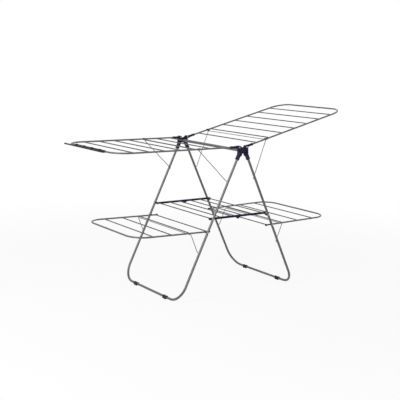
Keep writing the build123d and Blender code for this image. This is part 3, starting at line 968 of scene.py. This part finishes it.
@dataclass
class LegFrame:
    """One U-shaped leg frame with its sockets, feet, rivets and spacers."""

    bench: Workbench
    layout: Layout
    side: Side
    length: float = 876.0
    seat: float = 22.0
    tube: TubeStock = TubeStock(radius=6.5, sides=36, bend=90.0, steps=24)
    socket_edge: float = 0.7
    foot_edge: float = 0.9
    spacer_edge: float = 0.5
    wing_rivet: Rivet = Rivet(radius=2.5, head_radius=5.0, start=-5.0, end=18.8)
    shelf_pin: Rivet = Rivet(radius=2.5, head_radius=4.5, start=-6.5, end=31.3)
    shelf_peg: Rivet = Rivet(radius=2.5, head_radius=4.5, start=-6.5, end=31.3, inner_head=False)
    shelf_peg_step: float = 9.0
    lower_rivet_radius: float = 2.0
    lower_rivet_head: float = 4.0
    lower_rivet_start: float = -6.5
    lower_rivet_cover: float = 4.8

    @property
    def body(self) -> str:
        """Body of the frame that carries the leg pieces."""
        return f"{self.side.word}_leg"

    def along(self, length: float, across: float) -> Vector:
        """Point on the middle line of a leg, in metres."""
        return point(self.layout.leg_spot(self.side, length, self.layout.leg_offset), across)

    def build(self) -> None:
        """Make and dress every piece of the leg frame."""
        word, half = self.side.word, self.layout.half_spacing
        route = [self.along(self.seat, -half), self.along(self.length, -half)]
        route += [self.along(self.length, half), self.along(self.seat, half)]
        tube = self.tube.swept(route)
        self.bench.finish(tube, f"{word}_leg_frame", self.body, Slot.TUBE, [f"{word}_leg_tube"])
        for end in End:
            socket, hub = f"{word}_socket_{end.word}", f"{word}_hub_{end.word}"
            self.bench.soften(socket, self.socket_edge, hub, self.body, Slot.NAVY)
            foot, shoe = f"{word}_foot_{end.word}", f"{word}_shoe_{end.word}"
            self.bench.soften(foot, self.foot_edge, shoe, self.body, Slot.BLACK)
        self.rivets()
        for part in ("shelf", "lower"):
            spacers, bushes = f"{word}_{part}_spacers", f"{word}_{part}_bushes"
            self.bench.soften(spacers, self.spacer_edge, bushes, self.body, Slot.BLACK)

    def rivets(self) -> None:
        """Make the rivets of the wing, the shelf and the lower wing."""
        word, layout = self.side.word, self.layout
        wing = self.wing_rivet.pair(layout, layout.wing_spot(self.side, 0, 0))
        self.bench.finish(wing, f"{word}_wing_rivets", self.body, Slot.PIN, [f"{word}_wing_pins"])
        shelf_along, shelf_rivet, shelf_node = layout.shelf_along, self.shelf_pin, "left_shelf_pins"
        if self.side is Side.RIGHT:
            shelf_along += self.shelf_peg_step
            shelf_rivet, shelf_node = self.shelf_peg, "right_shelf_pegs"
        shelf_spot = layout.leg_spot(self.side, shelf_along, layout.leg_offset)
        shelf = shelf_rivet.pair(layout, shelf_spot)
        self.bench.finish(shelf, f"{word}_shelf_rivets", self.body, Slot.PIN, [shelf_node])
        lower_rivet = Rivet(
            radius=self.lower_rivet_radius,
            head_radius=self.lower_rivet_head,
            start=self.lower_rivet_start,
            end=layout.lower_inset(self.side) + self.lower_rivet_cover,
        )
        lower = lower_rivet.pair(layout, layout.lower_spot(self.side, 0, 0))
        lower_node = f"{word}_lower_pins"
        self.bench.finish(lower, f"{word}_lower_rivets", self.body, Slot.PIN, [lower_node])


@dataclass
class WireStay:
    """Bent wire that props a wing from the legs."""

    bench: Workbench
    layout: Layout
    node: str
    body: str
    arm_inset: float
    tip_inset: float = 2.0
    wire: TubeStock = TubeStock(radius=2.0, sides=16, bend=7.0, steps=10)

    def build(self, foot: Spot, tip: Spot) -> None:
        """Make and dress the stay.

        Args:
            foot: Pivot in the legs as (x, z).
            tip: Crossbar under the wing as (x, z).
        """
        arm = self.layout.half_spacing - self.arm_inset
        end = self.layout.half_spacing - self.tip_inset
        route = [point(foot, -end), point(foot, -arm), point(tip, -arm)]
        route += [point(tip, arm), point(foot, arm), point(foot, end)]
        shape = self.wire.swept(route)
        self.bench.finish(shape, f"{self.node}_wire", self.body, Slot.STAY, [self.node])


@dataclass
class UpperWing:
    """One upper wing with its rods, welds, hinge sleeves, stay clips and wire stay."""

    bench: Workbench
    layout: Layout
    side: Side
    stay_reach: float
    inset: float = 12.0
    grid: RodGrid = RodGrid(
        start=14.0, length=734.0, rod_first=81.0, rod_pitch=92.0, rod_count=7
    )
    hinge_edge: float = 0.6
    clip_edge: float = 0.5
    stay_along: float = 184.0
    stay_inset: float = 19.5
    stay_drop: float = 5.3

    def spot(self, along: float) -> Spot:
        """Point on the rails' middle line as (x, z)."""
        return self.layout.wing_spot(self.side, along, 0)

    def build(self) -> None:
        """Make and dress every piece of the wing."""
        word, layout = self.side.word, self.layout
        body = f"{word}_wing"
        half = layout.half_spacing - self.inset
        self.grid.build(self.bench, f"{word}_wing", body, self.spot, half)
        for end in End:
            sleeve, hinge = f"{word}_wing_sleeve_{end.word}", f"{word}_hinge_{end.word}"
            self.bench.soften(sleeve, self.hinge_edge, hinge, body, Slot.NAVY)
        clips, grips = f"{word}_stay_clips", f"{word}_stay_grips"
        self.bench.soften(clips, self.clip_edge, grips, body, Slot.BLACK)
        foot = layout.leg_spot(self.side, self.stay_along, layout.leg_offset)
        tip = layout.wing_spot(self.side, self.stay_reach, -self.stay_drop)
        stay = WireStay(self.bench, layout, f"{word}_stay", f"{word}_stay", self.stay_inset)
        stay.build(foot, tip)


@dataclass
class HangerStrip:
    """Moulded strip with raised hooks on the left wing's end bar."""

    bench: Workbench
    edge: float = 0.7

    def build(self) -> None:
        """Make and dress the strip."""
        self.bench.soften("left_hanger_strip", self.edge, "hanger_strip", "left_wing", Slot.BLACK)


@dataclass
class LowerWing:
    """One lower wing with its rods, welds, end caps and wire stay."""

    bench: Workbench
    layout: Layout
    side: Side
    grid: RodGrid = RodGrid(
        start=-30.0, length=428.0, rod_first=-20.0, rod_pitch=112.0, rod_count=4
    )
    cap_edge: float = 0.3
    stay_along: float = 594.0
    stay_rod: int = 1
    stay_drop: float = 7.3
    stay_step: float = 7.5

    def spot(self, along: float) -> Spot:
        """Point on the rails' middle line as (x, z)."""
        return self.layout.lower_spot(self.side, along, 0)

    def build(self) -> None:
        """Make and dress every piece of the wing."""
        word, layout = self.side.word, self.layout
        body = f"lower_{word}_wing"
        inset = layout.lower_inset(self.side)
        half = layout.half_spacing - inset
        self.grid.build(self.bench, f"{word}_lower", body, self.spot, half)
        caps, ends = f"{word}_lower_caps", f"{word}_lower_ends"
        self.bench.soften(caps, self.cap_edge, ends, body, Slot.BLACK)
        foot = layout.leg_spot(self.side, self.stay_along, layout.leg_offset)
        tip = layout.lower_spot(self.side, self.grid.rod_place(self.stay_rod), -self.stay_drop)
        arm_inset = inset + self.side.value * self.stay_step
        node, stay_body = f"{word}_lower_stay", f"lower_{word}_stay"
        WireStay(self.bench, layout, node, stay_body, arm_inset).build(foot, tip)


@dataclass
class Shelf:
    """Middle shelf in two halves, with moulded side bars, rods and hinge pins."""

    bench: Workbench
    layout: Layout
    bar_inset: float = 27.0
    bar_thickness: float = 8.0
    bar_edge: float = 0.8
    rod: TubeStock = TubeStock(radius=3.0, sides=20)
    rod_first: float = 36.0
    rod_pitch: float = 70.0
    rod_count: int = 3
    rod_seat: float = 4.0
    hinge_drop: float = 11.0
    pin_radius: float = 1.5
    pin_chamfer: float = 0.4
    pin_sides: int = 20

    def build(self) -> None:
        """Make and dress both halves and their hinge pins."""
        for side in Side:
            self.half(side)
        spot = self.layout.shelf_spot(Side.LEFT, 0, -self.hinge_drop)
        outer = self.layout.half_spacing - (self.bar_inset - self.bar_thickness / 2)
        shape = bmesh.new()
        for end in End:
            pin = turned_shape(self.pin_outline(), self.pin_sides, False)
            seat = point(spot, end.value * outer)
            merge_into(shape, pin, aimed(seat, Vector((0, end.value, 0))))
        self.bench.finish(
            shape, "shelf_hinge_rivets", "shelf_left", Slot.PIN, ["shelf_hinge_pins"]
        )

    def pin_outline(self) -> Outline:
        """Half section of a hinge pin as (radius, height), from its outer end inward.

        Returns:
            Points from the outer end to the inner end.
        """
        bottom, chamfer = -self.bar_thickness, self.pin_chamfer
        tip = self.pin_radius - chamfer
        outline = [(0.0, 0.0), (tip, 0.0), (self.pin_radius, -chamfer)]
        return outline + [(self.pin_radius, bottom + chamfer), (tip, bottom), (0.0, bottom)]

    def half(self, side: Side) -> None:
        """Make and dress one half.

        Args:
            side: Left or right half.
        """
        body = f"shelf_{side.word}"
        for end in End:
            bar, cover = f"{body}_bar_{end.word}", f"{body}_side_{end.word}"
            self.bench.soften(bar, self.bar_edge, cover, body, Slot.NAVY)
        places = [self.rod_first + self.rod_pitch * number for number in range(self.rod_count)]
        spots = [self.layout.shelf_spot(side, place, 0) for place in places]
        inner = self.layout.half_spacing - self.bar_inset - self.bar_thickness / 2
        rods = self.rod.rods(spots, inner + self.rod_seat)
        self.bench.finish(rods, f"{body}_wires", body, Slot.ROD, [f"{body}_rods"])


@dataclass(frozen=True)
class SoftLamp:
    """Square lamp that points at the middle of the rack, with its power in watts."""

    name: str
    place: Triple
    size: float
    power: float
    target: Triple = (0.0, 0.0, 0.5)

    def hang(self) -> None:
        """Add the lamp to the scene."""
        light = bpy.data.lights.new(self.name, "AREA")
        light.size = self.size
        light.energy = self.power
        holder = bpy.data.objects.new(self.name, light)
        holder.location = self.place
        aim = Vector(self.target) - Vector(self.place)
        holder.rotation_mode = "QUATERNION"
        holder.rotation_quaternion = aim.to_track_quat("-Z", "Y")
        bpy.context.scene.collection.objects.link(holder)


@dataclass(frozen=True)
class PhotoCamera:
    """Camera that sees the rack as the photograph does, with its distances in millimetres."""

    lens: float = 75.76
    sensor: float = 36.0
    azimuth: float = -34.43
    elevation: float = 9.97
    roll: float = 1.15
    distance: float = 4750.4
    target: Triple = (-51.5, 0.0, 486.9)
    view_end: float = 200.0

    def place(self) -> None:
        """Add the camera to the scene and look through it."""
        azimuth, elevation = math.radians(self.azimuth), math.radians(self.elevation)
        roll = math.radians(self.roll)
        flat = math.cos(elevation)
        back = Vector((math.sin(azimuth) * flat, -math.cos(azimuth) * flat, math.sin(elevation)))
        level = Vector((math.cos(azimuth), math.sin(azimuth), 0))
        upright = back.cross(level)
        right = level * math.cos(roll) + upright * math.sin(roll)
        up = upright * math.cos(roll) - level * math.sin(roll)
        lens = bpy.data.cameras.new("photo_camera")
        lens.lens = self.lens
        lens.sensor_width = self.sensor
        lens.clip_end = self.view_end
        holder = bpy.data.objects.new("photo_camera", lens)
        stand = (Vector(self.target) + back * self.distance) * MM
        turn = Matrix((right, up, back)).transposed().to_4x4()
        holder.matrix_world = Matrix.Translation(stand) @ turn
        bpy.context.scene.collection.objects.link(holder)
        bpy.context.scene.camera = holder


@dataclass
class Studio:
    """Pale floor, soft lamps, white surroundings and the camera of the photograph."""

    floor_size: float = 60.0
    floor_tone: Triple = (0.94, 0.94, 0.94)
    near_glow: float = 0.90
    glow_start: float = 1.0
    glow_end: float = 3.2
    ambient: float = 0.17
    lamps: tuple[SoftLamp, ...] = (
        SoftLamp("key_lamp", (-3.7, -1.3, 2.6), size=1.5, power=142.0),
        SoftLamp("fill_lamp", (2.2, -3.6, 2.4), size=2.4, power=8.0),
        SoftLamp("back_lamp", (3.2, 3.0, 2.8), size=2.4, power=50.0),
    )
    camera: PhotoCamera = PhotoCamera()

    def build(self) -> None:
        """Set the view, the surroundings, the floor, the lamps and the camera."""
        bpy.context.scene.view_settings.view_transform = "Standard"
        self.surroundings()
        self.floor()
        for lamp in self.lamps:
            lamp.hang()
        self.camera.place()

    @staticmethod
    def seen_directly(sketch: NodeSketch) -> Socket:
        """Share of rays that show a surface itself or its mirror image.

        Args:
            sketch: Node tree to add to.

        Returns:
            1 for camera, glossy and transmitted rays, otherwise 0.
        """
        path = sketch.add("LightPath")
        total = path.outputs["Is Camera Ray"]
        for name in ("Is Glossy Ray", "Is Transmission Ray"):
            total = sketch.combine("MAXIMUM", total, path.outputs[name])
        return total

    def surroundings(self) -> None:
        """White world that lights softly and shows as plain white."""
        world = bpy.data.worlds.new("white_studio")
        world.use_nodes = True
        sketch = NodeSketch(world.node_tree)
        soft = sketch.add("Background", Color=WHITE, Strength=self.ambient)
        white = sketch.add("Background", Color=WHITE, Strength=1.0)
        sketch.show(sketch.mix_shaders(self.seen_directly(sketch), soft, white), "OutputWorld")
        bpy.context.scene.world = world

    def floor_material(self) -> bpy.types.Material:
        """Make the floor's finish: matte where light falls on it, mostly clear to the eye.

        Returns:
            The finished material.
        """
        made, sketch = blank_material("pale_floor")
        away = sketch.add("VectorMath")
        away.operation = "LENGTH"
        sketch.link(sketch.add("TexCoord").outputs["Object"], away.inputs[0])
        glow = sketch.add(
            "MapRange",
            From_Min=self.glow_start,
            From_Max=self.glow_end,
            To_Min=self.near_glow,
            To_Max=1.0,
        )
        glow.interpolation_type = "SMOOTHSTEP"
        sketch.link(away.outputs["Value"], glow.inputs["Value"])
        seen = self.seen_directly(sketch)
        share = sketch.combine("MULTIPLY", glow.outputs["Result"], seen)
        matte = sketch.add("BsdfDiffuse", Color=shade(self.floor_tone))
        clear = sketch.add("BsdfTransparent")
        sketch.show(sketch.mix_shaders(share, matte, clear))
        return made

    def floor(self) -> None:
        """Plain pale floor that keeps the shadow, runs out into white and hides nothing below."""
        shape = bmesh.new()
        bmesh.ops.create_grid(shape, x_segments=1, y_segments=1, size=self.floor_size / 2)
        mesh = bpy.data.meshes.new("floor")
        shape.to_mesh(mesh)
        shape.free()
        mesh.materials.append(self.floor_material())
        plane = bpy.data.objects.new("floor", mesh)
        bpy.context.scene.collection.objects.link(plane)


def main() -> None:
    """Build the rack piece by piece, then the studio."""
    logging.basicConfig(level=logging.INFO, format="%(message)s")
    bench = Workbench(Palette())
    layout = Layout()
    Stretcher(bench, layout).build()
    for side in Side:
        LegFrame(bench, layout, side).build()
    UpperWing(bench, layout, Side.LEFT, stay_reach=249.0).build()
    UpperWing(bench, layout, Side.RIGHT, stay_reach=150.0).build()
    HangerStrip(bench).build()
    for side in Side:
        LowerWing(bench, layout, side).build()
    Shelf(bench, layout).build()
    Studio().build()
    LOG.info("%d pieces made", bench.count)


if __name__ == "__main__":
    main()
